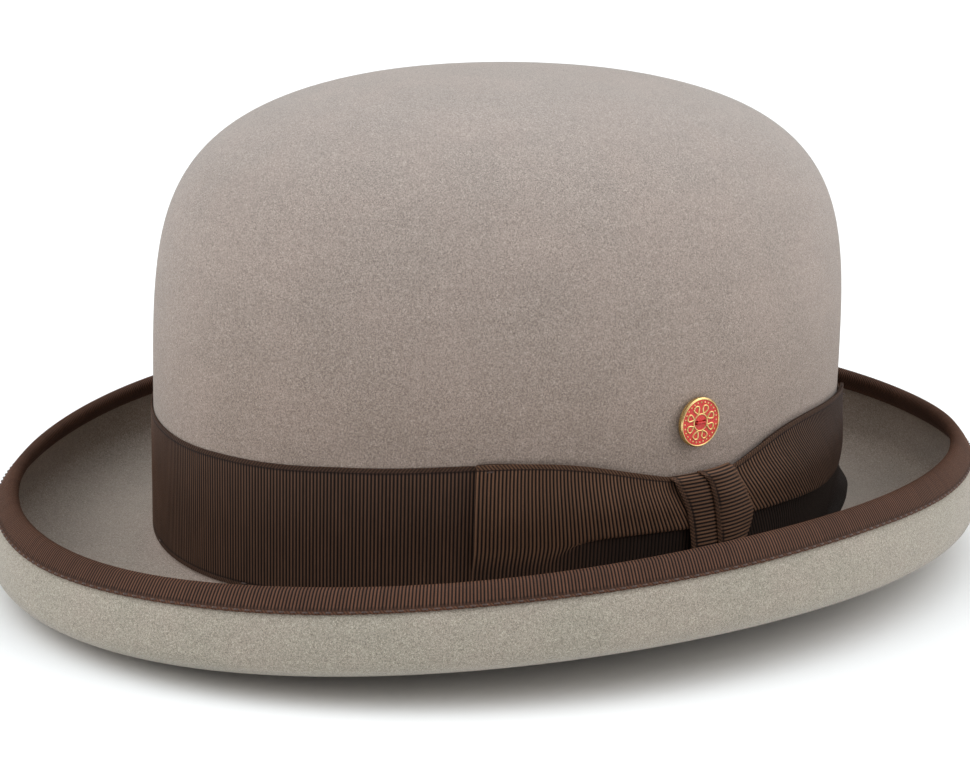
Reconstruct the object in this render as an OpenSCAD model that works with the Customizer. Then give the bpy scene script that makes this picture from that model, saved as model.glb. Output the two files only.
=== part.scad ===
// Bowler hat: stiff fur-felt body, grosgrain band, flat bow and bound brim, leather sweatband
// and satin lining. +Z is up, the front of the hat faces -Y, and the wearer's left, where the
// bow is sewn, faces +X. The origin is under the middle of the hat, on the surface it rests on.

/* [Crown] */
// Length of the crown at its foot, front to back
crown_length = 206; // [196:1:216]
// Width of the crown at its foot
crown_width = 173; // [164:1:182]
// Height of the crown's top above the resting surface
crown_top = 137.1; // [125:0.1:148]
// How upright the wall stands before it turns into the dome
dome_power = 6.6; // [5:0.1:8]
// How flat the top of the dome is
dome_root = 2.25; // [2:0.05:2.6]
// Thickness of the felt
felt_thick = 2.4; // [2:0.1:2.8]

/* [Brim] */
// Brim width at the sides, seen from above, crown to edge
brim_side = 31; // [27:0.5:36]
// Brim width at the front and back, seen from above, crown to edge
brim_front = 41; // [36:0.5:46]
// Height of the brim's top face where it meets the crown, averaged round the hat
foot_height = 13.5; // [12:0.5:15]
// How much higher the foot of the crown is at the sides than that average
foot_swing = 3.5; // [2:0.25:4]
// How much the underside of the brim rises at the sides, halved
low_swing = 4.25; // [2:0.25:5]
// Height of the curled edge, averaged round the hat
edge_height = 30.7; // [28:0.1:33]
// How much higher the edge is at the sides than that average
edge_swing = 3.5; // [0:0.25:5]
// How much higher the edge is at the back than that average
edge_tilt = 3.5; // [0:0.25:5]
// Distance from the lowest line of the brim out to the line above it where the edge ends
curl_reach = 15; // [12:0.5:18]
// How far the curl swells out past its edge
curl_bulge = 5.7; // [4:0.1:7]
// Lean of the curl's edge towards the crown, in degrees
curl_lean = 44; // [35:1:55]

/* [Hatband] */
// Height of the ribbon
band_height = 34.6; // [30:0.2:38]
// Thickness of the ribbon
ribbon_thick = 0.7; // [0.5:0.05:0.8]
// How far the ribbon's top edge is drawn down where the bow's knot gathers it
gather = 10; // [6:0.5:12]
// Spread of that gather in front of the knot, in degrees round the hat
gather_front = 19; // [14:1:24]
// Spread of that gather behind the knot, in degrees round the hat
gather_rear = 12.5; // [8:0.5:18]

/* [Bow] */
// Direction of the front loop's folded end, in degrees from the wearer's left
front_fold = -36; // [-42:1:-30]
// Direction of the rear loop's folded end, in degrees from the wearer's left
rear_fold = 50; // [44:1:56]
// Width of the knot
knot_width = 17; // [14:0.5:20]
// How far the rear loop's lower corner stands out from the band
rear_flare = 3; // [1:0.25:4]

/* [Edge binding] */
// Height of the folded ribbon that shows on each face of the brim
binding_height = 6.4; // [5:0.2:8]
// Number of stitches in the row that holds it
binding_stitch_count = 120; // [90:1:160]

/* [Button] */
// Diameter of the button
button_diameter = 13; // [12:0.5:16]
// Thickness of the button at its rim
button_thick = 1.6; // [1.6:0.1:2.2]
// Distance between the centres of the button's two holes
hole_spacing = 2.6; // [2.4:0.1:3.2]
// Diameter of each hole
hole_diameter = 1.2; // [1.1:0.1:1.4]
// Height of the button's centre above the lower edge of the ribbon
button_rise = 39.3; // [38:0.1:44]

/* [Sweatband and lining] */
// Height of the leather sweatband
sweat_height = 50; // [44:1:54]
// Thickness of the sweatband's leather
sweat_thick = 1; // [0.8:0.1:1.2]
// Diameter of the reed along the sweatband's lower edge
reed_diameter = 2.2; // [1.8:0.1:2.4]
// Thickness of the satin lining
lining_thick = 0.3; // [0.2:0.05:0.4]

/* [Hidden] */

// Directions round the hat: an angle of 0 is the wearer's left, 90 the back and -90 the front.
TURN_STEPS = 64;
BACK = 90;
half_w = crown_width / 2;
half_l = crown_length / 2;
half_mean = (half_w + half_l) / 2;
// The dome's curve starts just under the lowest part of the crown's foot.
DOME_LEAD = 0.6;
dome_start = foot_height - foot_swing - DOME_LEAD;
dome_rise = crown_top - dome_start;
low_x = half_w + brim_side - curl_reach;
low_y = half_l + brim_front - curl_reach;
edge_x = half_w + brim_side;
edge_y = half_l + brim_front;

// Air between pieces that lie on each other.
SKIN_GAP = 0.1;
// Share of the curl's height at which it stands out furthest.
BULGE_SHARE = 0.37;
// Length of a Bezier handle that turns two lines into a quarter of an ellipse.
QUARTER = 0.5523;

FELT_COLOUR = [0.62, 0.56, 0.51];
RIBBON_COLOUR = [0.22, 0.14, 0.11];
BINDING_COLOUR = [0.30, 0.20, 0.16];
GILT_COLOUR = [0.80, 0.62, 0.30];
ENAMEL_COLOUR = [0.75, 0.12, 0.10];
RED_THREAD_COLOUR = [0.60, 0.05, 0.05];
LEATHER_COLOUR = [0.36, 0.23, 0.15];
SATIN_COLOUR = [0.52, 0.44, 0.36];
PAPER_COLOUR = [0.92, 0.90, 0.84];

function mix(a, b, u) = a + (b - a) * u;
function bezier(p, u) =
    pow(1 - u, 3) * p[0] + 3 * pow(1 - u, 2) * u * p[1] + 3 * (1 - u) * u * u * p[2] + pow(u, 3) * p[3];
function reversed(list) = [for (i = [len(list) - 1:-1:0]) list[i]];
function steps(n) = [for (i = [0:n]) i / n];

// Heights that change round the hat.
function foot_z(a) = foot_height + foot_swing * cos(2 * a);
function low_z(a) = low_swing * (1 + cos(2 * a));
function edge_z(a) = edge_height + edge_swing * cos(2 * a) + edge_tilt * sin(a);

// A section point is [half width, half length, height]: the ellipse on which it lies at one height.
function placed(a, s) = [s.x * cos(a), s.y * sin(a), s.z];

// The crown's outer face at height z, moved out by d along the section's normal.
function dome_share(z) = max(0, min(1, (z - dome_start) / dome_rise));
function dome_ring(z) = pow(max(0, 1 - pow(dome_share(z), dome_power)), 1 / dome_root);
function dome_normal(z) =
    let (
        out = dome_root * pow(dome_ring(z), dome_root - 1) / half_mean,
        up = dome_power * pow(dome_share(z), dome_power - 1) / dome_rise
    )
    [out, up] / norm([out, up]);
function crown_section(z, d) =
    let (n = dome_normal(z))
    [half_w * dome_ring(z) + d * n[0], half_l * dome_ring(z) + d * n[0], z + d * n[1]];
// Height of a share u of the way from the foot to the top, with the steps closer together near the top.
function dome_z(a, u) = foot_z(a) + (crown_top - foot_z(a)) * pow(sin(90 * u * u), 2 / dome_power);
// A point on the wall, v above the ribbon's lower edge and d outside the felt.
function on_wall(a, v, d) = placed(a, crown_section(foot_z(a) + v, d));

// The brim from the crown's foot to its lowest line: depth 0 is the top face and 1 the underside.
// It leaves the wall downwards, more steeply on the underside, and arrives at the lowest line level.
STEEP_DROP = 3;
STEEP_DROP_UNDER = 5.5;
LEVEL_RUN = 8;
function brim_flat(a, depth, u) =
    let (
        wall_face = -felt_thick * depth,
        start = foot_z(a) + depth,
        steep_end = start - mix(STEEP_DROP, STEEP_DROP_UNDER, depth),
        level = low_z(a) + felt_thick * (1 - depth),
        share = bezier([0, 0, 1, 1], u),
        shift = bezier([wall_face, wall_face, -LEVEL_RUN, 0], u)
    )
    [
        mix(half_w, low_x, share) + shift,
        mix(half_l, low_y, share) + shift,
        bezier([start, steep_end, level, level], u)
    ];

// Bezier handles of the curl's upper part, as shares of its height.
RISE_HANDLE = 0.45;
EDGE_HANDLE = 0.35;
// The curl from the brim's lowest line (s = 0) through its widest (s = 1) to its edge (s = 2), as
// [distance outside the edge's line, height], moved in by inset from the outer face.
function curl(a, inset, s) =
    let (
        low = [-curl_reach, low_z(a) + inset],
        rise = edge_z(a) - low_z(a),
        wide = [curl_bulge - inset, low_z(a) + BULGE_SHARE * rise],
        edge = [-inset * cos(curl_lean), edge_z(a) - inset * sin(curl_lean)],
        above = edge.y - wide.y,
        lean = [sin(curl_lean), -cos(curl_lean)]
    )
    s <= 1
        ? bezier([low, [mix(low.x, wide.x, QUARTER), low.y], [wide.x, mix(wide.y, low.y, QUARTER)], wide], s)
        : bezier([wide, wide + [0, RISE_HANDLE * above], edge + EDGE_HANDLE * above * lean, edge], s - 1);
function curl_section(a, inset, s) =
    let (c = curl(a, inset, s)) [edge_x + c.x, edge_y + c.x, c.y];
// The half round that closes the edge, grown by g outside the felt: turn 0 is the outer face.
function edge_round(a, g, turn) =
    let (
        across = [cos(curl_lean), sin(curl_lean)],
        along = [-sin(curl_lean), cos(curl_lean)],
        middle = [0, edge_z(a)] - across * felt_thick / 2,
        c = middle + (felt_thick / 2 + g) * (across * cos(turn) + along * sin(turn))
    )
    [edge_x + c.x, edge_y + c.x, c.y];

// Triangles between neighbouring loops of n points. The loops may close on themselves.
function strip_faces(n, first, second) = [
    for (i = [0:n - 1])
        let (j = (i + 1) % n)
        each [[first + i, first + j, second + j], [first + i, second + j, second + i]]
];

// A closed ring swept round the hat from loops of section points, one loop for each direction.
module swept_ring(loops) {
    count = len(loops);
    n = len(loops[0]);
    polyhedron(
        points = [for (loop = loops) each loop],
        faces = [for (k = [0:count - 1]) each strip_faces(n, k * n, ((k + 1) % count) * n)],
        convexity = 10
    );
}

// A bar swept through loops whose first half runs up one face and second half down the other.
// Rungs between the two halves close each end.
module swept_bar(loops) {
    count = len(loops);
    n = len(loops[0]);
    last = (count - 1) * n;
    rungs = [for (i = [0:n / 2 - 2]) each [[i, n - 2 - i, i + 1], [i, n - 1 - i, n - 2 - i]]];
    polyhedron(
        points = [for (loop = loops) each loop],
        faces = [
            for (k = [0:count - 2]) each strip_faces(n, k * n, (k + 1) * n),
            each rungs,
            for (rung = rungs) [last + rung.x, last + rung.z, last + rung.y]
        ],
        convexity = 10
    );
}

// A shell between two poles: rows of points run round the hat, and a point closes each end.
module capped_shell(top_pole, rows, bottom_pole) {
    n = len(rows[0]);
    last = (len(rows) - 1) * n;
    pole = len(rows) * n;
    polyhedron(
        points = [for (row = rows) each row, top_pole, bottom_pole],
        faces = [
            for (k = [0:len(rows) - 2]) each strip_faces(n, (k + 1) * n, k * n),
            for (i = [0:n - 1]) [pole, i, (i + 1) % n],
            for (i = [0:n - 1]) [pole + 1, last + (i + 1) % n, last + i]
        ],
        convexity = 10
    );
}

// Directions of the sweeps, once round and over part of the way.
all_round = [for (i = [0:TURN_STEPS - 1]) 360 * i / TURN_STEPS];
function arc_steps(from, to, n) = [for (u = steps(n)) mix(from, to, u)];

// A thread of radius r from p to q.
module thread_bar(p, q, r) {
    d = q - p;
    translate(p)
        rotate([0, acos(d.z / norm(d)), atan2(d.y, d.x)])
            cylinder(h = norm(d), r = r, $fn = 16);
}

// Stitches of half angle width `half` at the given directions, at a height v and offset d on the wall.
module wall_stitches(directions, half, v, d, r) {
    for (a = directions)
        thread_bar(on_wall(a - half, v, d), on_wall(a + half, v, d), r);
}

// ---- Felt body ----

// Rows of the dome between its foot and its top. The lining keeps to the same rows.
DOME_STEPS = 12;

module felt_body() {
    function felt_chain(a) = concat(
        [for (k = [DOME_STEPS - 1:-1:0]) crown_section(dome_z(a, k / DOME_STEPS), 0)],
        [for (k = [1:6]) brim_flat(a, 0, k / 6)],
        [for (k = [1:8]) curl_section(a, felt_thick, k / 4)],
        [for (turn = [135, 90, 45]) edge_round(a, 0, turn)],
        [for (k = [8:-1:0]) curl_section(a, 0, k / 4)],
        [for (k = [5:-1:0]) brim_flat(a, 1, k / 6)],
        [for (k = [1:DOME_STEPS - 1]) crown_section(dome_z(a, k / DOME_STEPS), -felt_thick)]
    );
    chains = [for (a = all_round) [for (s = felt_chain(a)) placed(a, s)]];
    color(FELT_COLOUR)
        capped_shell(
            [0, 0, crown_top],
            [for (k = [0:len(chains[0]) - 1]) [for (chain = chains) chain[k]]],
            [0, 0, crown_top - felt_thick]
        );
}

// ---- Hatband ----

// Height of the ribbon's top edge: the knot draws it down, gently in front and sharply behind.
function gathered_top(a) =
    let (spread = a < 0 ? gather_front : gather_rear) band_height - gather * exp(-pow(a / spread, 2));

// A loop of wall points between two heights and two offsets, with some points up each face.
function ribbon_loop(a, v_low, v_high, d_in, d_out, n) = concat(
    [for (u = steps(n)) on_wall(a, mix(v_low, v_high, u), d_out)],
    [for (u = reversed(steps(n))) on_wall(a, mix(v_low, v_high, u), d_in)]
);

hatband_out = SKIN_GAP + ribbon_thick;
HATBAND_HIDDEN = 1.2;

module hatband() {
    // The two ends meet under the knot with a narrow gap.
    half_gap = 0.2;
    directions = arc_steps(half_gap, 360 - half_gap, TURN_STEPS);
    function signed(a) = a > 180 ? a - 360 : a;
    function under_bow(a) = (signed(a) > front_fold && signed(a) < rear_fold) ? HATBAND_HIDDEN : 0;
    color(RIBBON_COLOUR)
        swept_bar([
            for (a = directions)
                ribbon_loop(a, 0.2, gathered_top(signed(a)) - under_bow(a), SKIN_GAP, hatband_out, 3)
        ]);
}

module hatband_tacks() {
    tack_directions = [for (k = [1:8]) rear_fold + 12 + k * 28];
    color(RIBBON_COLOUR)
        wall_stitches(tack_directions, 0.6, 1.4, hatband_out, 0.2);
}

// ---- Bow ----

BOW_PLY = 1.2;
BOW_FOOT = 0.3;
bow_in = hatband_out + SKIN_GAP;
bow_out = bow_in + BOW_PLY;
// Height of the pleat that folds the lower part of the bow behind the upper part.
PLEAT_HEIGHT = 12;
PLEAT_TURN = 1.2;
PLEAT_STEP = 1.1;
// Share of an offset that is left half way up the upper part, and at its top edge.
MIDDLE_SHARE = 0.4;
TOP_SHARE = 0.6;
// Half the gap between the two loops, under the knot, in degrees.
LOOP_GAP = 1.5;

// A closed loop through the bow at one direction: the upper part stands out by `step`, and the
// lower part by `flare`.
function bow_loop(a, v_top, step, flare) =
    let (
        heights = [BOW_FOOT, PLEAT_HEIGHT - PLEAT_TURN, PLEAT_HEIGHT, mix(PLEAT_HEIGHT, v_top, 0.5), v_top],
        offsets = [flare, flare, max(step, flare), max(step, flare * MIDDLE_SHARE), step * TOP_SHARE]
    )
    concat(
        [for (i = [0:4]) on_wall(a, heights[i], bow_out + offsets[i])],
        [for (i = [4:-1:0]) on_wall(a, heights[i], bow_in)]
    );

module bow_front_loop() {
    // The pleat fades out this share of the way to the folded end.
    pleat_share = 0.66;
    directions = arc_steps(front_fold, -LOOP_GAP, 16);
    color(RIBBON_COLOUR)
        swept_bar([
            for (a = directions)
                let (near_knot = max(0, 1 - a / (front_fold * pleat_share)))
                bow_loop(a, gathered_top(a), PLEAT_STEP * near_knot, 0)
        ]);
}

module bow_rear_wing() {
    // The pleat fades out, and the flare reaches its full width, after these shares of the loop.
    pleat_share = 0.7;
    flare_share = 0.8;
    directions = arc_steps(LOOP_GAP, rear_fold, 20);
    color(RIBBON_COLOUR)
        swept_bar([
            for (a = directions)
                let (
                    along = (a - LOOP_GAP) / (rear_fold - LOOP_GAP),
                    near_knot = max(0, 1 - along / pleat_share),
                    stand_out = rear_flare * pow(sin(90 * min(1, along / flare_share)), 2)
                )
                bow_loop(a, gathered_top(a), PLEAT_STEP * near_knot, stand_out)
        ]);
}

KNOT_THICK = 1.3;
knot_in = bow_out + PLEAT_STEP + SKIN_GAP;
knot_out = knot_in + KNOT_THICK;

module bow_knot() {
    // The wrap leans: its foot is further back than its top, and it narrows downwards.
    foot_middle = 2.6;
    top_middle = 0.6;
    foot_width = 0.76 * knot_width;
    foot = 0.4;
    top = band_height - gather + 0.6;
    side_drop = 0.6;
    mm_per_degree = half_l * PI / 180;
    function half_turn(u) = mix(foot_width, knot_width, u) / 2 / mm_per_degree;
    function knot_loop(u) =
        let (a = mix(foot_middle, top_middle, u), h = half_turn(u), v = mix(foot, top, u))
        concat(
            [for (w = [-1:0.5:1]) on_wall(a + w * h, v, knot_out - side_drop * w * w)],
            [for (w = [1:-0.5:-1]) on_wall(a + w * h, v, knot_in)]
        );
    color(RIBBON_COLOUR)
        swept_bar([for (u = reversed(steps(8))) knot_loop(u)]);
}

module bow_tacks() {
    inset = 2;
    low = 1.6;
    high = band_height - 3;
    color(RIBBON_COLOUR) {
        wall_stitches([front_fold + inset], 0.5, low, bow_out, 0.2);
        wall_stitches([front_fold + inset], 0.5, high, bow_out, 0.2);
        wall_stitches([rear_fold - inset], 0.5, high, bow_out, 0.2);
    }
}

// ---- Brim binding ----

binding_out = SKIN_GAP + ribbon_thick;
// The upper part of the curl is about this long on the outer face, from its widest to its edge:
// its height and what its lean adds.
LEAN_LENGTH = 1.6;
curl_upper = (edge_height - low_swing) * (1 - BULGE_SHARE) + LEAN_LENGTH;
binding_start = 2 - binding_height / curl_upper;

module brim_binding() {
    shares = [for (u = steps(2)) mix(binding_start, 2, u)];
    // Offsets from the outer face: a negative one stands outside the felt, and one that is larger
    // than the felt's thickness stands inside the curl.
    function fold(a, g) = concat(
        [for (s = shares) curl_section(a, -g, s)],
        [for (turn = [45, 90, 135]) edge_round(a, g, turn)],
        [for (s = reversed(shares)) curl_section(a, felt_thick + g, s)]
    );
    color(BINDING_COLOUR)
        swept_ring([
            for (a = all_round)
                [for (s = concat(fold(a, binding_out), reversed(fold(a, SKIN_GAP)))) placed(a, s)]
        ]);
}

module binding_stitches() {
    stitch_half = 0.5 * 0.6 * 360 / binding_stitch_count;
    row = mix(binding_start, 2, 0.12);
    color(BINDING_COLOUR)
        for (k = [0:binding_stitch_count - 1])
            let (a = 360 * k / binding_stitch_count)
            thread_bar(
                placed(a - stitch_half, curl_section(a - stitch_half, -binding_out, row)),
                placed(a + stitch_half, curl_section(a + stitch_half, -binding_out, row)),
                0.22
            );
}

// ---- Button ----

BUTTON_Y = -3;
BUTTON_GAP = 0.3;
BUTTON_RIM = 0.55;
BUTTON_FLOOR = 0.9;
ENAMEL_THICK = 0.5;
THREAD_RADIUS = 0.28;
button_z = foot_z(0) + button_rise;
button_x = half_w * dome_ring(button_z) * sqrt(1 - pow(BUTTON_Y / half_l, 2)) + BUTTON_GAP;

// Turns a shape drawn on +Z round so that it stands on the wall, facing +X.
module on_button_axis() {
    translate([button_x, BUTTON_Y, button_z])
        rotate([0, 90, 0])
            children();
}
module button_holes(h) {
    for (side = [-1, 1])
        translate([0, side * hole_spacing / 2, -h])
            cylinder(h = 3 * h, d = hole_diameter, $fn = 32);
}

module button_disc() {
    r = button_diameter / 2;
    color(GILT_COLOUR)
        on_button_axis()
            difference() {
                rotate_extrude($fn = 64)
                    polygon([
                        [0, 0],
                        [r - 0.4, 0],
                        [r, 0.4],
                        [r, button_thick - 0.3],
                        [r - 0.3, button_thick],
                        [r - BUTTON_RIM + 0.1, button_thick],
                        [r - BUTTON_RIM, button_thick - 0.1],
                        [r - BUTTON_RIM, BUTTON_FLOOR],
                        [0, BUTTON_FLOOR]
                    ]);
                button_holes(button_thick);
            }
}

module button_enamel() {
    color(ENAMEL_COLOUR)
        on_button_axis()
            difference() {
                translate([0, 0, BUTTON_FLOOR])
                    cylinder(h = ENAMEL_THICK, r = button_diameter / 2 - BUTTON_RIM, $fn = 64);
                button_holes(button_thick);
            }
}

module button_thread() {
    face = BUTTON_FLOOR + ENAMEL_THICK + THREAD_RADIUS + 0.12;
    root = -BUTTON_GAP - 2;
    color(RED_THREAD_COLOUR)
        on_button_axis() {
            for (y = [-hole_spacing / 2, hole_spacing / 2])
                thread_bar([0, y, root], [0, y, face], THREAD_RADIUS);
            for (level = [root, face])
                thread_bar([0, -hole_spacing / 2, level], [0, hole_spacing / 2, level], THREAD_RADIUS);
        }
}

// ---- Sweatband ----

// Offsets from the crown's outer face inwards.
felt_in = -felt_thick;
lining_back = felt_in - SKIN_GAP;
lining_front = lining_back - lining_thick;
sweat_back = felt_in - 1;
sweat_front = sweat_back - sweat_thick;
TAPE_THICK = 0.3;
// Heights from the ribbon's lower edge.
SWEAT_FOOT = 0.2;
reed_v = -1.6;
reed_d = sweat_back - sweat_thick / 2;

module sweatband() {
    color(LEATHER_COLOUR)
        swept_bar([
            for (a = arc_steps(BACK + 0.15, BACK + 359.85, TURN_STEPS))
                ribbon_loop(a, SWEAT_FOOT, sweat_height, sweat_front, sweat_back, 3)
        ]);
}

// A closed tube round the hat that follows a line on the wall.
module wall_tube(v, d, r, sides) {
    swept_ring([
        for (a = all_round)
            [for (k = [0:sides - 1]) on_wall(a, v + r * sin(360 * k / sides), d + r * cos(360 * k / sides))]
    ]);
}

module sweatband_reed() {
    color("ivory")
        wall_tube(reed_v, reed_d, reed_diameter / 2, 6);
}

module reed_tape() {
    r_in = reed_diameter / 2 + SKIN_GAP;
    r_out = r_in + TAPE_THICK;
    cover_in = sweat_front - SKIN_GAP;
    // From behind the leather, under the reed, and up over the leather's lower edge.
    function wrap(a, r, back_d, front_d) = concat(
        [on_wall(a, 5, back_d)],
        [for (turn = [0:-45:-180]) on_wall(a, reed_v + r * sin(turn), reed_d + r * cos(turn))],
        [on_wall(a, 1.6, front_d)]
    );
    color("saddlebrown")
        swept_ring([
            for (a = all_round)
                concat(
                    wrap(a, r_out, sweat_back + SKIN_GAP + TAPE_THICK, cover_in - TAPE_THICK),
                    reversed(wrap(a, r_in, sweat_back + SKIN_GAP, cover_in))
                )
        ]);
}

module sweatband_stitches() {
    count = 90;
    color("tan")
        wall_stitches([for (k = [0:count - 1]) 360 * k / count], 0.5 * 0.6 * 360 / count, 1.1,
            sweat_front - SKIN_GAP - TAPE_THICK, 0.2);
}

module sweatband_splice() {
    color("saddlebrown")
        swept_bar([
            for (a = arc_steps(BACK - 2.5, BACK + 2.5, 2))
                ribbon_loop(a, 6, sweat_height - 3, sweat_back + 0.08, sweat_back + 0.38, 2)
        ]);
}

// Two small loops and a knot over the foot of the joint.
module sweatband_bow() {
    function half_height(w) = 1.6 + 3.2 * pow(abs(w), 1.5);
    function stand_off(w) = 0.5 + 1.6 * pow(sin(180 * abs(w)), 2) + 0.9 * exp(-pow(w / 0.18, 2));
    bow_half = 8;
    color("saddlebrown")
        swept_bar([
            for (w = arc_steps(-1, 1, 16))
                let (
                    a = BACK + bow_half * w,
                    near = sweat_front - TAPE_THICK - 2 * SKIN_GAP,
                    far = near - stand_off(w)
                )
                ribbon_loop(a, 9 - half_height(w), 9 + half_height(w), far, near, 2)
        ]);
}

// ---- Lining ----

// Height of the lining's lower edge above the ribbon's, and the dome rows where its parts lie.
LINING_FOOT = 36;
SIDE_FIRST_ROW = 2;
SEAM_ROW = 8;

module lining_side() {
    function lining_heights(a) = concat(
        [foot_z(a) + LINING_FOOT],
        [for (k = [SIDE_FIRST_ROW:SEAM_ROW]) dome_z(a, k / DOME_STEPS)]
    );
    color(SATIN_COLOUR)
        swept_ring([
            for (a = all_round)
                let (heights = lining_heights(a))
                concat(
                    [for (z = heights) placed(a, crown_section(z, lining_back))],
                    [for (z = reversed(heights)) placed(a, crown_section(z, lining_front))]
                )
        ]);
}

module lining_tip() {
    // The tip's lower edge lies a hair above the seam, on the straight run up to the next row.
    tip_start = 0.15;
    rows = [for (k = [SEAM_ROW:DOME_STEPS - 1]) k];
    function on_row(a, k, d) = crown_section(dome_z(a, k / DOME_STEPS), d);
    function tip_section(a, k, d) =
        k > SEAM_ROW ? on_row(a, k, d) : mix(on_row(a, k, d), on_row(a, k + 1, d), tip_start);
    function face_rows(list, d) = [
        for (k = list) [for (a = all_round) placed(a, tip_section(a, k, d))]
    ];
    color(SATIN_COLOUR)
        capped_shell(
            [0, 0, crown_top + lining_back],
            concat(face_rows(reversed(rows), lining_back), face_rows(rows, lining_front)),
            [0, 0, crown_top + lining_front]
        );
}

module lining_piping() {
    r = 0.8;
    sides = 6;
    color(SATIN_COLOUR)
        swept_ring([
            for (a = all_round)
                let (c = crown_section(dome_z(a, SEAM_ROW / DOME_STEPS), lining_front - r - SKIN_GAP))
                [for (k = [0:sides - 1])
                    let (out = r * cos(360 * k / sides), up = r * sin(360 * k / sides))
                    placed(a, c + [out, out, up])]
        ]);
}

// ---- Label ----

module size_label() {
    label_back = sweat_front - 0.2;
    color(PAPER_COLOUR)
        swept_bar([
            for (a = arc_steps(BACK + 24, BACK + 36, 3))
                ribbon_loop(a, 16, 28, label_back - 0.2, label_back, 1)
        ]);
}

felt_body();
hatband();
hatband_tacks();
bow_front_loop();
bow_rear_wing();
bow_knot();
bow_tacks();
brim_binding();
binding_stitches();
button_disc();
button_enamel();
button_thread();
sweatband();
sweatband_reed();
reed_tape();
sweatband_stitches();
sweatband_splice();
sweatband_bow();
lining_side();
lining_tip();
lining_piping();
size_label();
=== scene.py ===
"""Bowler hat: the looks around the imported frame.

Everything is in the frame's own axes: +Z is up, the front of the hat faces -Y, and the wearer's left,
where the bow is, faces +X. Shapes are worked out in millimetres and made in metres. A direction round
the hat is in degrees: 0 is the wearer's left, 90 the back and -90 the front.
"""

import math

import bpy
import numpy as np
from mathutils import Matrix, Vector


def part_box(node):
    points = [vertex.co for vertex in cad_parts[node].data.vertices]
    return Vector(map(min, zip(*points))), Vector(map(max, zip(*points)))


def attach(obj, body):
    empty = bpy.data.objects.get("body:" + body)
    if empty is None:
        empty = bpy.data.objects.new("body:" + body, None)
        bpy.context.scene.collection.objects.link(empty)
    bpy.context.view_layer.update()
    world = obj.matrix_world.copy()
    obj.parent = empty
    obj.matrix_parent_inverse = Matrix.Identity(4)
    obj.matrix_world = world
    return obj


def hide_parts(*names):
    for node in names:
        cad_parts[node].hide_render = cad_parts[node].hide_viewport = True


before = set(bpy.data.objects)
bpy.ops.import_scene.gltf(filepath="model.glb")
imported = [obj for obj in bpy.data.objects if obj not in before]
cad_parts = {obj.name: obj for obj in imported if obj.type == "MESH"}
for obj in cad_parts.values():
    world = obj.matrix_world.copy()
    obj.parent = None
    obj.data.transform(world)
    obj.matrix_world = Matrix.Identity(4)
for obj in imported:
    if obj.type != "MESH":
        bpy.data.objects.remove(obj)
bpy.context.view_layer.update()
MM = 0.001

# ---- The hat's form, as in the CAD source ----
HALF_W, HALF_L = 86.5, 103.0
CROWN_TOP, DOME_POWER, DOME_ROOT = 137.1, 6.6, 2.25
FELT = 2.4
FOOT, FOOT_SWING = 13.5, 3.5
LOW_SWING = 4.25
EDGE, EDGE_SWING, EDGE_TILT = 30.7, 3.5, 3.5
REACH, BULGE, LEAN = 15.0, 5.7, 44.0
EDGE_X, EDGE_Y = 117.5, 144.0
LOW_X, LOW_Y = EDGE_X - REACH, EDGE_Y - REACH
DOME_START = FOOT - FOOT_SWING - 0.6
DOME_RISE = CROWN_TOP - DOME_START
BULGE_SHARE, QUARTER = 0.37, 0.5523
BAND_HEIGHT = 34.6
BINDING_HEIGHT = 6.4
PLY_OFF = 0.42  # How far a single ply's middle stands off the felt.
THREAD_R = 0.2


def cosd(a):
    return np.cos(np.radians(a))


def sind(a):
    return np.sin(np.radians(a))


def mix(a, b, u):
    return a + (b - a) * u


def smooth(x, low, high):
    t = np.clip((x - low) / (high - low), 0, 1)
    return t * t * (3 - 2 * t)


def curve(x, xs, ys):
    """A smooth line through the points xs, ys."""
    xs, ys = np.array(xs, float), np.array(ys, float)
    slopes = np.gradient(ys, xs)
    x = np.clip(x, xs[0], xs[-1])
    i = np.clip(np.searchsorted(xs, x, side="right") - 1, 0, len(xs) - 2)
    h = xs[i + 1] - xs[i]
    t = (x - xs[i]) / h
    return (
        (2 * t**3 - 3 * t**2 + 1) * ys[i]
        + (t**3 - 2 * t**2 + t) * h * slopes[i]
        + (3 * t**2 - 2 * t**3) * ys[i + 1]
        + (t**3 - t**2) * h * slopes[i + 1]
    )


def bezier(p, u):
    return (1 - u) ** 3 * p[0] + 3 * (1 - u) ** 2 * u * p[1] + 3 * (1 - u) * u * u * p[2] + u**3 * p[3]


def placed(a, half_x, half_y, z):
    """Points in direction a on the ellipses with those half axes and heights."""
    return np.stack(np.broadcast_arrays(half_x * cosd(a), half_y * sind(a), z), -1)


def foot_z(a):
    return FOOT + FOOT_SWING * cosd(2 * a)


def low_z(a):
    return LOW_SWING * (1 + cosd(2 * a))


def edge_z(a):
    wave = 0.22 * sind(3 * a + 40) + 0.14 * sind(7 * a + 110)
    return EDGE + EDGE_SWING * cosd(2 * a) + EDGE_TILT * sind(a) + wave


def dome(z, d):
    """Half axes and height of the crown's face at height z, moved out by d."""
    share = np.clip((z - DOME_START) / DOME_RISE, 0, 1)
    ring = np.clip(1 - share**DOME_POWER, 0, 1) ** (1 / DOME_ROOT)
    out = DOME_ROOT * ring ** (DOME_ROOT - 1) / ((HALF_W + HALF_L) / 2)
    up = DOME_POWER * share ** (DOME_POWER - 1) / DOME_RISE
    size = np.hypot(out, up)
    return HALF_W * ring + d * out / size, HALF_L * ring + d * out / size, z + d * up / size


def dome_z(a, u):
    return foot_z(a) + (CROWN_TOP - foot_z(a)) * sind(90 * u * u) ** (2 / DOME_POWER)


def on_wall(a, v, d):
    """A point on the wall, v above the ribbon's lower edge and d outside the felt."""
    return placed(a, *dome(foot_z(a) + v, d))


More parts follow.
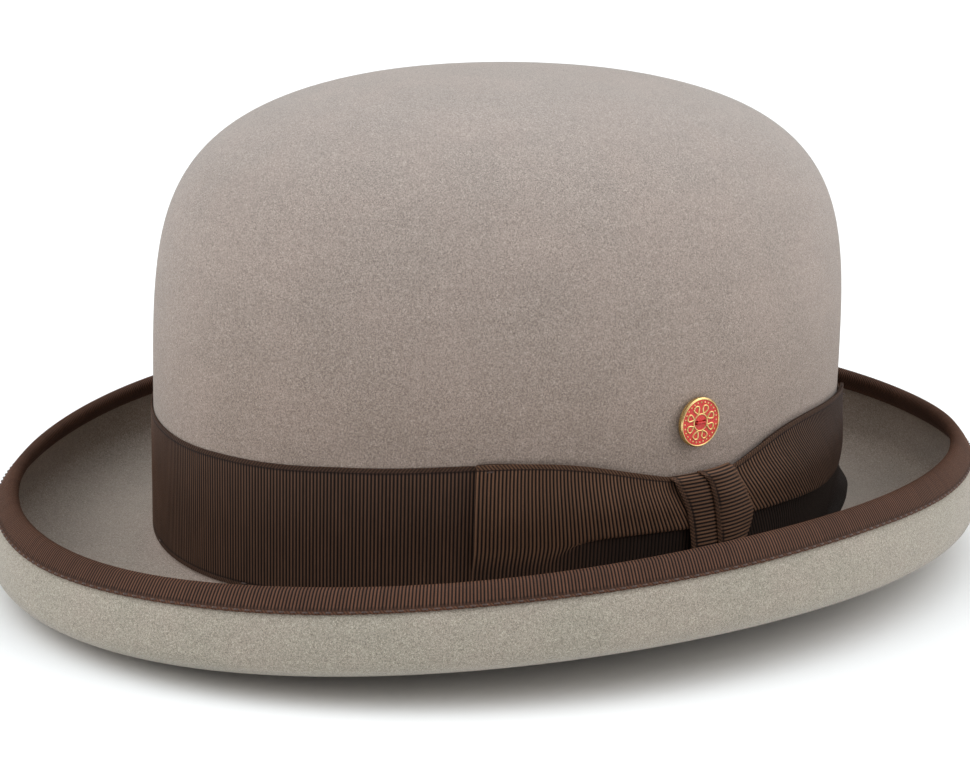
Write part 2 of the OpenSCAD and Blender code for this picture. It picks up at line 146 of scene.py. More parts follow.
def brim_flat(a, depth, u):
    """The brim from the crown's foot (u 0) to its lowest line (u 1): depth 0 is the upper face, 1 the lower."""
    inner = -FELT * depth
    start = foot_z(a) + depth
    level = low_z(a) + FELT * (1 - depth)
    share = bezier([0, 0, 1, 1], u)
    shift = bezier([inner, inner, -8, 0], u)
    z = bezier([start, start - mix(3, 5.5, depth), level, level], u)
    return mix(HALF_W, LOW_X, share) + shift, mix(HALF_L, LOW_Y, share) + shift, z


def curl(a, inset, s):
    """The curl from its lowest line (s 0) through its widest (s 1) to its edge (s 2): half axes and heights."""
    rise = edge_z(a) - low_z(a)
    low_x, low = -REACH, low_z(a) + inset
    wide_x, wide = BULGE - inset, low_z(a) + BULGE_SHARE * rise
    edge_x, edge = -inset * cosd(LEAN), edge_z(a) - inset * sind(LEAN)
    above = edge - wide
    under = s <= 1
    u = np.where(under, s, s - 1)
    x = np.where(under, bezier([low_x, mix(low_x, wide_x, QUARTER), wide_x, wide_x], u),
                 bezier([wide_x, wide_x, edge_x + 0.35 * above * sind(LEAN), edge_x], u))
    z = np.where(under, bezier([low, low, mix(wide, low, QUARTER), wide], u),
                 bezier([wide, wide + 0.45 * above, edge - 0.35 * above * cosd(LEAN), edge], u))
    return EDGE_X + x, EDGE_Y + x, z


def edge_round(a, g, turn):
    """The half round that closes the edge, grown by g: turn 0 is the outer face."""
    r = FELT / 2 + g
    x = -cosd(LEAN) * FELT / 2 + r * (cosd(LEAN) * cosd(turn) - sind(LEAN) * sind(turn))
    z = edge_z(a) - sind(LEAN) * FELT / 2 + r * (sind(LEAN) * cosd(turn) + cosd(LEAN) * sind(turn))
    return EDGE_X + x, EDGE_Y + x, z


def evenly_round(start, end, step, half_x=HALF_W, half_y=HALF_L):
    """Directions from start to end, about step apart along that ellipse, and their lengths along it."""
    fine = np.linspace(start, end, 6001)
    speed = np.hypot(half_x * sind(fine), half_y * cosd(fine)) * math.pi / 180
    pieces = (speed[1:] + speed[:-1]) / 2 * np.diff(fine)
    along = np.concatenate([[0], np.cumsum(np.abs(pieces))])
    at = np.linspace(0, along[-1], int(round(along[-1] / step)) + 1)
    return np.interp(at, along, fine), at


def mm_per_degree(a):
    """One degree's length round the foot of the wall, in direction a."""
    return np.hypot(HALF_W * sind(a), HALF_L * cosd(a)) * math.pi / 180


# ---- Meshes ----
def make_mesh(name, points, quads, extra, material, values=None):
    """A mesh of four-sided faces and a list of other faces, turned so that its outside faces out.

    values are numbers at its points, for the material to read.
    """
    quads = np.asarray(quads, np.int64).reshape(-1, 4)
    p = np.asarray(points, float)
    volume = 0.0
    for i, j, k in ((0, 1, 2), (0, 2, 3)):
        a, b, c = p[quads[:, i]], p[quads[:, j]], p[quads[:, k]]
        volume += (a * np.cross(b, c)).sum()
    for f in extra:
        a = p[f[0]]
        for j in range(1, len(f) - 1):
            volume += a @ np.cross(p[f[j]], p[f[j + 1]])
    if volume < 0:
        quads = quads[:, ::-1]
        extra = [f[::-1] for f in extra]
    sizes = np.concatenate([np.full(len(quads), 4), [len(f) for f in extra]]).astype(np.int32)
    corners = np.concatenate([quads.ravel()] + [np.array(f) for f in extra]).astype(np.int32)
    mesh = bpy.data.meshes.new(name)
    mesh.vertices.add(len(p))
    mesh.vertices.foreach_set("co", (p * MM).astype(np.float32).ravel())
    mesh.loops.add(len(corners))
    mesh.loops.foreach_set("vertex_index", corners)
    mesh.polygons.add(len(sizes))
    mesh.polygons.foreach_set("loop_start", np.concatenate([[0], np.cumsum(sizes)[:-1]]).astype(np.int32))
    mesh.polygons.foreach_set("use_smooth", np.full(len(sizes), True))
    mesh.update(calc_edges=True)
    for key, v in (values or {}).items():
        attribute = mesh.attributes.new(key, "FLOAT", "POINT")
        attribute.data.foreach_set("value", np.asarray(v, np.float32).ravel())
    mesh.materials.append(material)
    o = bpy.data.objects.new(name, mesh)
    bpy.context.scene.collection.objects.link(o)
    return o


def faces_between(rows, n, ring=False):
    """Faces between closed rows of n points that follow each other, and back to the first one in a ring."""
    i = np.arange(rows if ring else rows - 1)[:, None] * n
    j = (i + n) % (rows * n)
    k = np.arange(n)[None]
    k1 = (k + 1) % n
    return np.stack([i + k, i + k1, j + k1, j + k], -1).reshape(-1, 4)


def end_faces(rows, n, base=0):
    """The faces that close a run of such rows, whose first point is number base."""
    last = base + (rows - 1) * n
    return [list(range(base, base + n))[::-1], list(range(last, last + n))]


def sweep(name, loops, material, ring=False, values=None):
    """A solid swept through closed loops: loops is columns x points x 3."""
    size = loops.shape[:2]
    extra = [] if ring else end_faces(*size)
    return make_mesh(name, loops.reshape(-1, 3), faces_between(*size, ring), extra, material, values)


def shell(name, rows, top, bottom, material, values=None):
    """A shell of rows that run round the hat, closed by a point at each end: rows is rows x columns x 3."""
    count, n = rows.shape[:2]
    pole, last = count * n, (count - 1) * n
    extra = [[pole, (m + 1) % n, m] for m in range(n)]
    extra += [[pole + 1, last + m, last + (m + 1) % n] for m in range(n)]
    points = np.concatenate([rows.reshape(-1, 3), [top], [bottom]])
    padded = {}
    for key, v in (values or {}).items():
        flat = np.asarray(v, float).reshape(count, n)
        padded[key] = np.concatenate([flat.ravel(), [flat[0].mean(), flat[-1].mean()]])
    return make_mesh(name, points, faces_between(count, n), extra, material, padded)


def surface_normals(grid, ring):
    """Normals of a grid of points, turned away from the hat's axis."""
    if ring:
        along = np.roll(grid, -1, 0) - np.roll(grid, 1, 0)
    else:
        along = np.gradient(grid, axis=0)
    n = np.cross(along, np.gradient(grid, axis=1))
    n /= np.maximum(np.linalg.norm(n, axis=-1, keepdims=True), 1e-9)
    outward = grid[0, grid.shape[1] // 2] * (1, 1, 0)
    return n if (n[0, grid.shape[1] // 2] * outward).sum() > 0 else -n


def run_of(grid, axis):
    """Length run along one axis of a grid of points."""
    step = np.linalg.norm(np.diff(grid, axis=axis), axis=-1)
    start = np.zeros_like(np.take(step, [0], axis=axis))
    return np.cumsum(np.concatenate([start, step], axis=axis), axis=axis)


def run_across(grid):
    """Length across a ribbon from its first row, and from the nearer of its edges."""
    across = run_of(grid, 1)
    return across, np.minimum(across, across[:, -1:] - across)


def strip(name, middle, thick, material, rib=None, depth=0.0, rear_rows=None, ring=False, along=None):
    """A ribbon: a solid of that thickness about its middle surface, which is columns x rows x 3.

    rib says how high the weave's ribs stand on the front face, from 0 to 1, and depth how high that is.
    rear_rows are the rows kept on the rear face, which needs fewer.
    """
    normals = surface_normals(middle, ring)
    across, edge = run_across(middle)
    rib = np.ones(middle.shape[:2]) if rib is None else rib
    along = run_of(middle, 0) if along is None else np.broadcast_to(along, middle.shape[:2])
    front = middle + normals * (thick / 2 + depth * (rib - 1))[..., None]
    keep = np.arange(middle.shape[1]) if rear_rows is None else np.asarray(rear_rows)
    rear = (middle - normals * thick / 2)[:, keep]

    def both(x):
        return np.concatenate([x, x[:, keep][:, ::-1]], axis=1)

    loops = np.concatenate([front, rear[:, ::-1]], axis=1)
    values = {"along": both(along), "across": both(across), "edge": both(edge), "rib": both(rib)}
    return sweep(name, loops, material, ring, values)


def ribs(length, pitch):
    """Height of the weave's ribs, 1 on a crest and 0 in a groove, at a length along the ribbon."""
    return np.abs(np.cos(np.pi * length / pitch)) ** 0.55


def b_spline(control, rows):
    """A smooth line near its control points: control is columns x points, and the result columns x rows."""
    c = np.concatenate([control[:, :1]] * 2 + [control] + [control[:, -1:]] * 2, axis=1)
    at = np.linspace(0, c.shape[1] - 3 - 1e-9, rows)
    i, t = at.astype(int), at % 1
    weights = ((1 - t) ** 3, 3 * t**3 - 6 * t**2 + 4, -3 * t**3 + 3 * t**2 + 3 * t + 1, t**3)
    return sum(w / 6 * c[:, i + k] for k, w in enumerate(weights))


def bars(name, lines, radius, material, sides=8, steps=7):
    """Short threads, each a rounded bar along the quadratic curve through three points."""
    lines = np.asarray(lines, float)
    t = np.linspace(0, 1, steps)
    start, middle, end = lines[:, 0], lines[:, 1], lines[:, 2]
    knee = 2 * middle - (start + end) / 2
    at = t[None, :, None]
    path = (1 - at) ** 2 * start[:, None] + 2 * (1 - at) * at * knee[:, None] + at**2 * end[:, None]
    run = np.gradient(path, axis=1)
    run /= np.linalg.norm(run, axis=-1, keepdims=True)
    side = np.cross(run, np.array([0.13, 0.21, 0.97]))
    side /= np.linalg.norm(side, axis=-1, keepdims=True)
    up = np.cross(run, side)
    girth = radius * np.sqrt(np.maximum(1 - (2 * t - 1) ** 8, 0.09))
    turn = 2 * np.pi * np.arange(sides) / sides
    ring = side[:, :, None] * np.cos(turn)[:, None] + up[:, :, None] * np.sin(turn)[:, None]
    points = path[:, :, None] + ring * girth[None, :, None, None]
    n = steps * sides
    quads = n * np.arange(len(lines))[:, None, None] + faces_between(steps, sides)
    extra = []
    for base in range(0, len(lines) * n, n):
        extra += end_faces(steps, sides, base)
    return make_mesh(name, points.reshape(-1, 3), quads, extra, material)


# ---- Materials ----
def linear(*rgb):
    """An sRGB colour, each part from 0 to 255, as the shader's linear one."""
    c = np.array(rgb) / 255
    c = np.where(c <= 0.04045, c / 12.92, ((c + 0.055) / 1.055) ** 2.4)
    return (*[float(x) for x in c], 1.0)


class Nodes:
    """A node tree, with short names for the nodes that the looks here share."""

    def __init__(self, tree):
        self.tree = tree

    def add(self, kind, inputs=None, **settings):
        node = self.tree.nodes.new(kind)
        for key, value in settings.items():
            setattr(node, key, value)
        for key, value in (inputs or {}).items():
            if isinstance(value, bpy.types.NodeSocket):
                self.tree.links.new(value, node.inputs[key])
            else:
                node.inputs[key].default_value = value
        return node

    def math(self, operation, a, b=0.0):
        return self.add("ShaderNodeMath", {0: a, 1: b}, operation=operation).outputs[0]

    def times(self, first, *factors):
        for factor in factors:
            first = self.math("MULTIPLY", first, factor)
        return first

    def ramp(self, fac, *stops):
        """A colour ramp: a stop's colour is either sRGB from 0 to 255, or linear with its alpha."""
        node = self.add("ShaderNodeValToRGB", {"Fac": fac})
        points = node.color_ramp.elements
        while len(points) < len(stops):
            points.new(0.5)
        for point, (at, colour) in zip(points, stops):
            point.position = at
            point.color = linear(*colour) if len(colour) == 3 else colour
        return node.outputs["Color"]


class Shader(Nodes):
    """A material. Its settings are the surface's inputs, with _ for each space in their names."""

    def __init__(self, name, **settings):
        self.material = bpy.data.materials.new(name)
        self.material.use_nodes = True
        super().__init__(self.material.node_tree)
        self.surface = self.tree.nodes["Principled BSDF"]
        for key, value in settings.items():
            self.surface.inputs[key.replace("_", " ")].default_value = value
        place = self.add("ShaderNodeTexCoord").outputs["Object"]
        self.place = self.add("ShaderNodeVectorMath", {0: place, "Scale": 1 / MM}, operation="SCALE").outputs[0]

    def value(self, name):
        return self.add("ShaderNodeAttribute", attribute_name=name).outputs["Fac"]

    def vector(self, x, y, z=0.0):
        return self.add("ShaderNodeCombineXYZ", {0: x, 1: y, 2: z}).outputs[0]

    def noise(self, scale, detail=3.0, rough=0.6, place=None, stretch=None):
        """Noise whose features are about 1 / scale millimetres wide."""
        place = self.place if place is None else place
        if stretch:
            place = self.add("ShaderNodeVectorMath", {0: place, 1: stretch}, operation="MULTIPLY").outputs[0]
        settings = {"Vector": place, "Scale": scale, "Detail": detail, "Roughness": rough}
        return self.add("ShaderNodeTexNoise", settings).outputs["Fac"]

    def range(self, value, low, high, to_low, to_high):
        settings = {"Value": value, 1: low, 2: high, 3: to_low, 4: to_high}
        return self.add("ShaderNodeMapRange", settings).outputs[0]

    def spread(self, noise, to_low, to_high):
        """From to_low to to_high over the values that noise mostly takes."""
        return self.range(noise, 0.3, 0.7, to_low, to_high)

    def wave(self, length, turns):
        return self.math("SINE", self.times(length, turns))

    def blend(self, fac, a, b, kind="MIX"):
        node = self.add("ShaderNodeMix", {0: fac, 6: a, 7: b}, data_type="RGBA", blend_type=kind)
        return node.outputs[2]

    def shade(self, colour, *factors):
        """The colour made darker or lighter by factors near 1."""
        fac = self.times(*factors)
        return self.blend(1.0, colour, self.vector(fac, fac, fac), "MULTIPLY")

    def finish(self, colour, rough=None, *bumps):
        """Sets the colour, the roughness and bumps laid on each other: each bump is its height from 0 to 1
        and its depth in millimetres."""
        normal = None
        for height, depth in bumps:
            inputs = {"Height": height, "Distance": depth * MM, "Strength": 1.0}
            if normal is not None:
                inputs["Normal"] = normal
            normal = self.add("ShaderNodeBump", inputs).outputs[0]
        for socket, value in (("Base Color", colour), ("Roughness", rough), ("Normal", normal)):
            if value is not None:
                self.tree.links.new(value, self.surface.inputs[socket])
        return self.material


def felt_material():
    m = Shader("fur_felt", Roughness=0.95, Sheen_Weight=0.32, Sheen_Roughness=0.4, Sheen_Tint=(1.0, 1.0, 1.0, 1),
               Specular_IOR_Level=0.18)
    fibres = m.noise(1.9, 5, 0.75)
    specks = m.noise(4.2, 2, 0.7)
    tufts = m.noise(0.5, 4)
    clouds = m.noise(0.055, 3, 0.5)
    streaks = m.noise(0.3, 3, 0.55, stretch=(0.12, 0.12, 1.0))
    stops = (0.30, 0.50, 0.72)
    crown = m.ramp(fibres, *zip(stops, ((119, 106, 97), (152, 137, 127), (180, 166, 156))))
    brim = m.ramp(fibres, *zip(stops, ((128, 121, 109), (158, 151, 138), (183, 176, 163))))
    # Painted highlight: from 60 mm up, the crown's colour is mixed towards a pale cool grey, so its top is
    # lighter, as where light from above falls.
    height = m.add("ShaderNodeSeparateXYZ", {0: m.place}).outputs["Z"]
    crown = m.blend(m.range(height, 60, 130, 0.0, 0.13), crown, linear(200, 206, 210))
    colour = m.blend(m.value("brim"), crown, brim)
    uneven = [m.range(layer, 0.32, 0.68, 1 - amount, 1 + amount)
              for layer, amount in ((tufts, 0.04), (clouds, 0.04), (streaks, 0.025))]
    pink = m.blend(m.range(clouds, 0.4, 0.62, 0.0, 0.18), colour, linear(153, 136, 128))
    return m.finish(m.shade(pink, m.spread(specks, 0.54, 1.46), *uneven), None,
                    (tufts, 0.10), (fibres, 0.16), (specks, 0.07))


def ribbon_material(name, crest, middle, groove):
    """Grosgrain: ribs that stand as geometry, with the fine warp yarns that run over them. Its colour follows the
    rib height, near black in the grooves and lighter on the crests: painted shade and painted highlight across
    each rib.
    """
    m = Shader(name, Sheen_Weight=0.02, Sheen_Roughness=0.4, Sheen_Tint=(1.0, 0.86, 0.78, 1),
               Specular_IOR_Level=0.13)
    along, across = m.value("along"), m.value("across")
    yarns = m.noise(1.0, 2, place=m.vector(m.times(along, 0.9), m.times(across, 7.0)))
    streaks = m.noise(1.0, 2, 0.5, place=m.vector(m.times(along, 0.85), m.times(across, 0.06)))
    worn = m.noise(0.05, 3, 0.55)
    slants = [m.wave(m.math(sign, along, across), 9.0) for sign in ("ADD", "SUBTRACT")]
    weave = m.range(m.times(*slants), -1, 1, 0, 1)
    selvedge = m.range(m.value("edge"), 1.0, 1.45, 0.35, 0.0)
    # Painted shade and painted highlight: the colour runs from the groove colour, near black, where the rib value
    # is low, to the crest colour where it is high, so every groove the rib value marks is painted dark.
    ribbed = m.ramp(m.value("rib"), (0.22, groove), (0.74, middle), (0.98, crest))
    woven = m.ramp(weave, (0.2, middle), (0.9, crest))
    colour = m.shade(m.blend(selvedge, ribbed, woven), m.spread(yarns, 0.84, 1.16), m.spread(streaks, 0.86, 1.14),
                     m.range(worn, 0.35, 0.65, 0.93, 1.08))
    return m.finish(colour, m.spread(yarns, 0.54, 0.72), (yarns, 0.035), (m.times(weave, selvedge), 0.09))


def thread_material(name, dark, light, rough=0.6):
    m = Shader(name, Sheen_Weight=0.15)
    strands = m.noise(2.6)
    return m.finish(m.ramp(strands, (0.35, dark), (0.65, light)), m.spread(strands, rough - 0.08, rough + 0.12),
                    (strands, 0.08))


def leather_material():
    m = Shader("sweatband_leather", Coat_Weight=0.12, Coat_Roughness=0.35, Specular_IOR_Level=0.45)
    grain = m.add("ShaderNodeTexVoronoi", {"Vector": m.place, "Scale": 1.15}, feature="DISTANCE_TO_EDGE")
    creases = m.range(grain.outputs["Distance"], 0.0, 0.22, 0.0, 1.0)
    pores = m.noise(2.4)
    tone = m.noise(0.06, 4)
    colour = m.ramp(tone, (0.32, (86, 58, 42)), (0.55, (110, 76, 55)), (0.72, (128, 91, 66)))
    colour = m.shade(colour, m.range(creases, 0, 1, 0.74, 1.04), m.spread(pores, 0.9, 1.08))
    return m.finish(colour, m.spread(pores, 0.40, 0.58), (creases, 0.10), (pores, 0.05))


def satin_material():
    m = Shader("satin", Anisotropic=0.55, Sheen_Weight=0.1, Specular_IOR_Level=0.6)
    threads = m.noise(6.0, 2, 0.5, stretch=(1.0, 1.0, 0.12))
    slubs = m.noise(0.7, stretch=(0.3, 0.3, 1.6))
    colour = m.ramp(m.noise(0.04, 3, 0.55), (0.35, (184, 160, 128)), (0.65, (194, 171, 139)))
    colour = m.shade(colour, m.spread(threads, 0.9, 1.1), m.spread(slubs, 0.94, 1.05))
    return m.finish(colour, m.spread(slubs, 0.28, 0.40), (slubs, 0.05), (threads, 0.02))


def tape_material():
    m = Shader("cotton_tape", Sheen_Weight=0.1)
    yarns = m.noise(2.2)
    ridge = m.range(m.wave(m.math("ADD", m.value("along"), m.value("across")), 7.5), -1, 1, 0, 1)
    colour = m.ramp(ridge, (0.1, (62, 42, 32)), (0.8, (96, 68, 52)))
    return m.finish(m.shade(colour, m.spread(yarns, 0.84, 1.12)), m.spread(yarns, 0.72, 0.9),
                    (ridge, 0.08), (yarns, 0.05))


def metal_material():
    m = Shader("gilt_metal", Metallic=1.0)
    stain = m.noise(0.5, 4)
    scratches = m.noise(2.5, stretch=(1.0, 1.0, 5.0))
    colour = m.ramp(stain, (0.3, (214, 177, 110)), (0.7, (238, 208, 148)))
    return m.finish(colour, m.spread(scratches, 0.20, 0.36), (scratches, 0.006), (stain, 0.02))


def enamel_material():
    m = Shader("red_enamel", Coat_Weight=0.12, Coat_Roughness=0.12)
    depth = m.noise(0.9)
    grain = m.noise(5.0)
    colour = m.ramp(depth, (0.3, (200, 25, 16)), (0.7, (220, 44, 28)))
    return m.finish(colour, m.spread(grain, 0.22, 0.38), (depth, 0.02), (grain, 0.006))


def reed_material():
    m = Shader("reed_plastic")
    haze = m.noise(0.3)
    marks = m.noise(2.0)
    colour = m.ramp(haze, (0.3, (206, 196, 172)), (0.7, (226, 218, 198)))
    return m.finish(colour, m.spread(marks, 0.38, 0.55), (marks, 0.02))


def label_material():
    m = Shader("label_cloth", Sheen_Weight=0.12)
    weave = m.range(m.times(*(m.wave(m.value(run), 18.0) for run in ("along", "across"))), -1, 1, 0, 1)
    fray = m.noise(1.2)
    plain = m.ramp(weave, (0.1, (206, 196, 176)), (0.9, (232, 224, 206)))
    edge = m.value("edge")
    border = m.times(m.range(edge, 1.0, 1.15, 0, 1), m.range(edge, 1.5, 1.65, 1, 0))
    colour = m.shade(m.blend(border, plain, linear(96, 62, 44)), m.spread(fray, 0.92, 1.05))
    return m.finish(colour, m.spread(fray, 0.7, 0.85), (weave, 0.05), (fray, 0.04))


def floor_material():
    m = Shader("pale_floor", Roughness=0.9, Specular_IOR_Level=0.1)
    haze = m.noise(0.004, 2, 0.55)
    return m.finish(m.ramp(haze, (0.3, (0.90, 0.90, 0.90, 1)), (0.7, (0.915, 0.915, 0.915, 1))))


felt = felt_material()
# The last colour of each ribbon is that of its grooves, near black: painted shade.
band_cloth = ribbon_material("band_grosgrain", (92, 67, 52), (40, 28, 24), (2, 2, 2))
bow_cloth = ribbon_material("bow_grosgrain", (110, 80, 61), (47, 33, 27), (2, 2, 2))
binding_cloth = ribbon_material("binding_grosgrain", (98, 66, 50), (56, 37, 28), (8, 5, 4))
brown_thread = thread_material("brown_thread", (40, 26, 21), (84, 58, 47))
leather = leather_material()
satin = satin_material()
tape_cloth = tape_material()
leather_thread = thread_material("leather_thread", (150, 122, 86), (196, 168, 126))
red_thread = thread_material("red_thread", (165, 16, 12), (226, 44, 32), 0.5)
gilt = metal_material()
enamel = enamel_material()
reed_plastic = reed_material()
label_cloth = label_material()


def finish_piece(o, slot, *replaced, body="hat"):
    """Says which body a piece rides and hides the CAD nodes that it replaces; slot, what it is made of, is not
    used.
    """
    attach(o, body)
    if replaced:
        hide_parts(*replaced)


# ---- Felt body ----
COLUMNS = 360
round_felt = np.linspace(0, 360, COLUMNS, endpoint=False)


def felt_relief(a, z):
    """Slight unevenness of the crown above the ribbon, in millimetres."""
    slow = 0.16 * sind(2 * a + 30) * sind(z * 2.1 + 20)
    slow = slow + 0.10 * sind(5 * a + z * 1.4) + 0.05 * sind(11 * a - z * 2.2)
    return slow * smooth(z, 62, 85) * smooth(CROWN_TOP - z, 0, 12)


def make_felt():
    rows, brim = [], []
    up = np.linspace(0, 1, 61)

    def add(section, share):
        rows.append(placed(round_felt, *section))
        brim.append(np.full(COLUMNS, share))

    for u in up[1:-1][::-1]:
        z = dome_z(round_felt, u)
        add(dome(z, felt_relief(round_felt, z)), 0.0)
    for u in np.linspace(0, 1, 15):
        add(brim_flat(round_felt, 0, u), 0.35 * float(smooth(u, 0, 0.5)))
    for s in np.linspace(0, 2, 29)[1:]:
        add(curl(round_felt, FELT, s), 0.35)
    for turn in (150, 120, 90, 60, 30):
        add(edge_round(round_felt, 0, turn), 0.7)
    for s in np.linspace(2, 0, 33):
        add(curl(round_felt, 0, s), 1.0)
    for u in np.linspace(1, 0, 15)[1:]:
        add(brim_flat(round_felt, 1, u), 1.0)
    for u in up[1:-1]:
        add(dome(dome_z(round_felt, u), -FELT), 0.5)
    o = shell("fur_felt_body", np.array(rows), (0, 0, CROWN_TOP), (0, 0, CROWN_TOP - FELT), felt, {"brim": brim})
    finish_piece(o, "felt", "felt_body")


make_felt()

# ---- Ribbons ----
PITCH = 0.94  # From one rib of the ribbon to the next.
FINE = PITCH / 6
PLY = 0.5
RIB_DEPTH = 0.22
HIDDEN_RIB = 0.7  # The even height that stands for ribs where they are hidden, and the columns lie far apart.
FRONT_FOLD, REAR_FOLD = -36.0, 50.0
BAND_OVERLAP = 12  # How far, in degrees, the band's own ribs run on under the rear loop.


def front_top(a):
    """Height of the front loop's top edge, drawn down by the knot."""
    return 35.2 - 10.4 * np.exp(-((a / 18) ** 2))


def rear_top(a):
    """Height of the rear loop's top edge."""
    return BAND_HEIGHT + 1.2 * smooth(a, 10, 40) - 10 * np.exp(-((a / 12.5) ** 2))


def rows_between(low, high, middle_rows):
    """Heights from low to high for each column, with rows close together in the selvedges."""
    near = np.array([0, 0.15, 0.45, 0.75, 1.05, 1.3, 1.48, 1.9])
    shares = np.linspace(0, 1, middle_rows + 2)[1:-1]
    low, high = np.asarray(low, float)[:, None], np.asarray(high, float)[:, None]
    inner = mix(low + near[-1], high - near[-1], shares[None])
    return np.concatenate([low + near[None], inner, high - near[None, ::-1]], axis=1)


def ribbed(length, edge, pitch=PITCH):
    """Rib heights, with a selvedge of slanting strokes along both edges."""
    strokes = ribs(length + 0.9 * edge, pitch)
    # A groove just inside each selvedge; the material also paints it darker, as painted shade.
    dip = 1 - 0.38 * np.exp(-(((edge - 1.32) / 0.15) ** 2))
    return mix(strokes, ribs(length, pitch), smooth(edge, 1.2, 1.45)) * dip


def make_hatband():
    hidden, visible_start, visible_end = 0.25, REAR_FOLD - BAND_OVERLAP, 360 + FRONT_FOLD + 2
    a, along = evenly_round(visible_start, visible_end, FINE)
    before, after = np.linspace(hidden, visible_start, 40)[:-1], np.linspace(visible_end, 360 - hidden, 30)[1:]
    lead = np.interp(before, [hidden, visible_start], [-60.0, 0.0])
    trail = along[-1] + np.interp(after, [visible_end, 360], [0.0, 60.0])
    a, along = np.concatenate([before, a, after]), np.concatenate([lead, along, trail])
    signed = np.where(a > 180, a - 360, a)
    under_bow = smooth(signed, FRONT_FOLD - 0.5, FRONT_FOLD + 4)
    under_bow *= smooth(-signed, -REAR_FOLD - 0.5, -REAR_FOLD + 6)
    top = np.where(signed < 0, front_top(signed) - 0.5, BAND_HEIGHT - 10 * np.exp(-((signed / 12.5) ** 2)))
    top = np.where(np.abs(signed) > 60, BAND_HEIGHT, top) - 1.2 * under_bow
    top = top + 0.12 * sind(signed * 5 + 20) + 0.06 * sind(signed * 17)
    v = rows_between(0 * a + 0.25, top, 8)
    edge = np.minimum(v - v[:, :1], v[:, -1:] - v)
    before_loop = smooth(-signed, BAND_OVERLAP - REAR_FOLD, BAND_OVERLAP + 1 - REAR_FOLD)
    shown = 1 - smooth(signed, FRONT_FOLD + 1, FRONT_FOLD + 2) * before_loop
    rib = mix(HIDDEN_RIB, ribbed(along[:, None], edge), shown[:, None])
    rear = [0, 5, 11, 17, v.shape[1] - 1]
    middle = on_wall(a[:, None], v, PLY_OFF)
    o = strip("hatband_ribbon", middle, PLY, band_cloth, rib, RIB_DEPTH, rear, along=along[:, None])
    finish_piece(o, "ribbon", "hatband")


make_hatband()


BOW_ROWS = 72


def folded_section(v_top, pleat, fold, low_d, high_d, top_d, hidden):
    """Heights and offsets across a bow loop, from its lower edge to its top edge.

    Where fold is 1 the lower part runs up behind the upper part, which folds over it at the height pleat."""
    step = high_d - low_d
    folded_v = [v * np.ones_like(v_top) for v in (0.4, 1.0, 1.7, 2.6)] + [0.45 * pleat, 0.8 * pleat]
    folded_v += [pleat + up for up in (hidden, hidden * 1.15, 0.1 * hidden, -0.35, -0.1, 1.1)]
    folded_d = [low_d] * 4 + [1.1 * low_d, 1.25 * low_d, 1.25 * low_d, 1.25 * low_d + 0.2 * step]
    folded_d += [low_d + 0.45 * step, low_d + 0.6 * step, high_d, high_d + 0.12]
    plain_v = folded_v[:4] + [mix(2.6, pleat + 1.1, k / 8) for k in range(1, 9)]
    plain_d = [low_d] * 3 + [mix(low_d, high_d, k / 9) for k in range(1, 10)]
    v = [mix(p, f, fold) for p, f in zip(plain_v, folded_v)]
    d = [mix(p, f, fold) for p, f in zip(plain_d, folded_d)]
    for share in (0.16, 0.34, 0.54, 0.74, 0.88):
        v.append(mix(pleat + 1.1, v_top - 1.6, share))
        d.append(mix(high_d, top_d, smooth(share, 0.3, 1.0)) + 0.25 * math.sin(math.pi * share) * fold)
    for below in (1.6, 1.05, 0.5, 0.0):
        v.append(v_top - below)
        d.append(top_d)
    return b_spline(np.stack(v, 1), BOW_ROWS), b_spline(np.stack(d, 1), BOW_ROWS)


BACK_D = 1.0  # How far the ply behind a loop stands off the felt.
BACK_STEP = 3.0
BAND_DEGREE = 1.75  # About one degree's length round the band.


